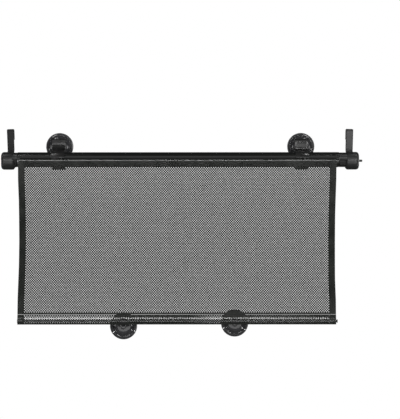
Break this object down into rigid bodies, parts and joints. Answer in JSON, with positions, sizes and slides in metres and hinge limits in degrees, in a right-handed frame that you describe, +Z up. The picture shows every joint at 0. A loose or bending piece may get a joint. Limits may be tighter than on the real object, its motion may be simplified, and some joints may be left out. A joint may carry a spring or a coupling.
{
  "type": "car side window sunshade",
  "caption": "Spring roller sunshade for a car side window: a perforated film on a roller in an open rail, with hooks over the pane and suction cups.",
  "frame": {"origin": "on the pane's inner face, behind the middle of the film, level with the roller's axis", "axes": "+X along the roller to the button end, +Y towards the pane, +Z up"},
  "size_m": [0.5677, 0.0482, 0.3347],
  "materials": {
    "rail": "extruded black plastic, satin",
    "cap": "moulded black plastic, semi-gloss",
    "hook": "moulded black plastic, satin",
    "bracket": "moulded black plastic, semi-gloss",
    "suction_cup": "smoky black soft vinyl, glossy",
    "film": "thin perforated black vinyl film, satin",
    "steel": "bright drawn steel",
    "nylon": "black moulded nylon",
    "brake_rubber": "black friction rubber"
  },
  "bodies": {
    "frame": {"housing": "rail", "end_cap_left": "cap", "end_cap_right": "cap", "hook_left": "hook", "hook_right": "hook", "cup_bracket_left": "bracket", "cup_bracket_right": "bracket", "top_cup_left": "suction_cup", "top_cup_right": "suction_cup", "spring_shaft": "steel", "return_spring": "steel", "spring_collar": "nylon", "screen_film": "film"},
    "roller": {"roller_tube": "steel", "film_roll": "film", "spring_plug": "nylon", "brake_plug": "nylon", "brake_spring": "steel"},
    "hem": {"hem_sleeve": "film", "hem_rod": "steel", "rod_plug_left": "hook", "rod_plug_right": "hook", "hem_clip_left": "bracket", "hem_clip_right": "bracket", "bottom_cup_left": "suction_cup", "bottom_cup_right": "suction_cup"},
    "button": {"release_button": "cap", "brake_cone": "brake_rubber"}
  },
  "joints": [
    {"name": "screen_draw", "type": "slide", "parent": "frame", "child": "hem", "axis": [0, 0, 1], "range_m": [0, 0.237], "deforming": ["screen_film"]},
    {"name": "roller_spin", "type": "hinge", "parent": "frame", "child": "roller", "pos_m": [0, -0.026, 0], "axis": [-1, 0, 0], "range_deg": [0, 1526]},
    {"name": "button_press", "type": "slide", "parent": "frame", "child": "button", "axis": [-1, 0, 0], "range_m": [0, 0.0032], "stiffness_N_per_m": 600, "springref_m": -0.003, "deforming": ["brake_spring"]}
  ],
  "couplings": [
    {"joint": "roller_spin", "follows": "screen_draw", "rad_per_m": 112.36}
  ]
}
